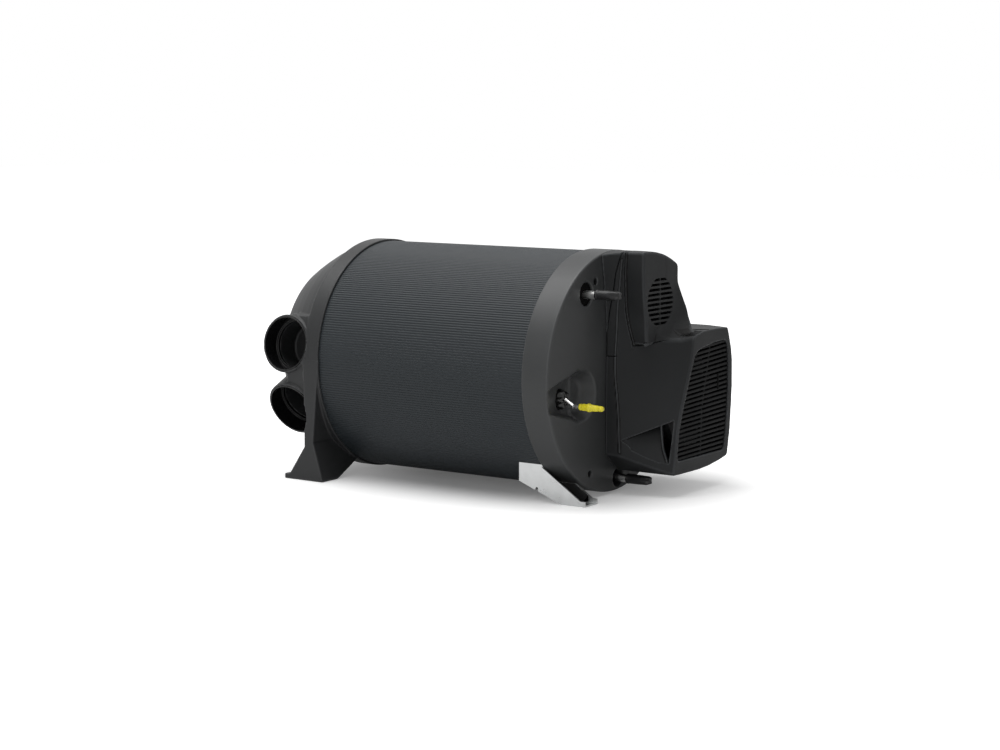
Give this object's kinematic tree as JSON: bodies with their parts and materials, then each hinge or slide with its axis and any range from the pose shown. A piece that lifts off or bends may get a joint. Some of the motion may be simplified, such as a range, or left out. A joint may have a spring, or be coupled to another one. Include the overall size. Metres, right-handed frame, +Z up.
{
  "type": "caravan water heater",
  "caption": "Round caravan air and water heater on its side: ribbed jacket, moulded end caps with feet, side air outlets, control housing with intake grille, capped pipe stubs.",
  "frame": {"origin": "on the floor, under the middle of the heater's bounding box", "axes": "+X along the tank towards the control end, -Y towards the front with the seen air outlets, +Z up"},
  "size_m": [0.5139, 0.3018, 0.2975],
  "materials": {
    "cap_plastic": "fine-grained black moulding",
    "cover_plastic": "fine-grained black moulding",
    "outlet_plastic": "smooth black",
    "jacket_sheet": "satin blue-grey with fine ribs",
    "bracket_steel": "bare galvanised sheet",
    "screw_steel": "zinc-plated",
    "pipe_metal": "bright stainless",
    "cap_black": "soft black plastic",
    "cap_yellow": "soft yellow plastic",
    "seal_rubber": "matt black",
    "insulation_wool": "felted mineral wool",
    "tank_steel": "stainless sheet",
    "cast_aluminium": "as cast",
    "ceramic": "fired ceramic",
    "motor_steel": "dark satin",
    "shaft_steel": "ground",
    "fan_plastic": "smooth dark moulding",
    "hose_plastic": "black",
    "board_laminate": "green laminate",
    "component_plastic": "black",
    "connector_plastic": "natural white",
    "sensor_brass": "turned"
  },
  "bodies": {
    "heater": {"outer_jacket": "jacket_sheet", "outlet_end_cap": "cap_plastic", "air_outlet_front_upper": "outlet_plastic", "air_outlet_front_lower": "outlet_plastic", "air_outlet_rear_upper": "outlet_plastic", "air_outlet_rear_lower": "outlet_plastic", "burner_end_cap": "cap_plastic", "face_screws": "screw_steel", "front_foot_bracket": "bracket_steel", "rear_foot_bracket": "bracket_steel", "bracket_rivets": "bracket_steel", "control_housing": "cover_plastic", "electronics_cover": "cover_plastic", "intake_grille": "cover_plastic", "housing_screws": "screw_steel", "hot_water_pipe": "pipe_metal", "cold_water_pipe": "pipe_metal", "fuel_pipe": "pipe_metal", "hot_pipe_grommet": "seal_rubber", "cold_pipe_grommet": "seal_rubber", "fuel_pipe_grommet": "seal_rubber", "insulation_upper": "insulation_wool", "insulation_lower": "insulation_wool", "water_tank": "tank_steel", "heat_exchanger": "cast_aluminium", "burner_tube": "tank_steel", "burner_head": "tank_steel", "glow_pin": "ceramic", "burner_housing": "cast_aluminium", "burner_motor": "motor_steel", "burner_motor_screws": "screw_steel", "exhaust_pipe": "tank_steel", "combustion_air_pipe": "hose_plastic", "fan_motor_mount": "fan_plastic", "circulation_motor": "motor_steel", "circulation_motor_screws": "screw_steel", "circulation_bearings": "shaft_steel", "circulation_fan_housing": "fan_plastic", "circuit_board": "board_laminate", "board_components": "component_plastic", "connector_block": "connector_plastic", "water_sensor": "sensor_brass", "overheat_switch": "connector_plastic"},
    "circulation_fan": {"circulation_shaft": "shaft_steel", "circulation_impeller": "fan_plastic"},
    "burner_fan": {"burner_fan_shaft": "shaft_steel", "burner_impeller": "fan_plastic"},
    "hot_water_cap": {"hot_water_cap": "cap_black"},
    "cold_water_cap": {"cold_water_cap": "cap_black"},
    "fuel_cap": {"fuel_cap": "cap_yellow"}
  },
  "joints": [
    {"name": "circulation_fan_spin", "type": "hinge", "parent": "heater", "child": "circulation_fan", "pos_m": [0.208, 0.078, 0.11], "axis": [1, 0, 0], "continuous": true},
    {"name": "burner_fan_spin", "type": "hinge", "parent": "heater", "child": "burner_fan", "pos_m": [0.15, 0, 0.15], "axis": [1, 0, 0], "continuous": true},
    {"name": "hot_water_cap_pull", "type": "slide", "parent": "heater", "child": "hot_water_cap", "axis": [1, 0, 0], "range_m": [0, 0.04]},
    {"name": "cold_water_cap_pull", "type": "slide", "parent": "heater", "child": "cold_water_cap", "axis": [1, 0, 0], "range_m": [0, 0.04]},
    {"name": "fuel_cap_pull", "type": "slide", "parent": "heater", "child": "fuel_cap", "axis": [1, 0, 0], "range_m": [0, 0.04]}
  ]
}
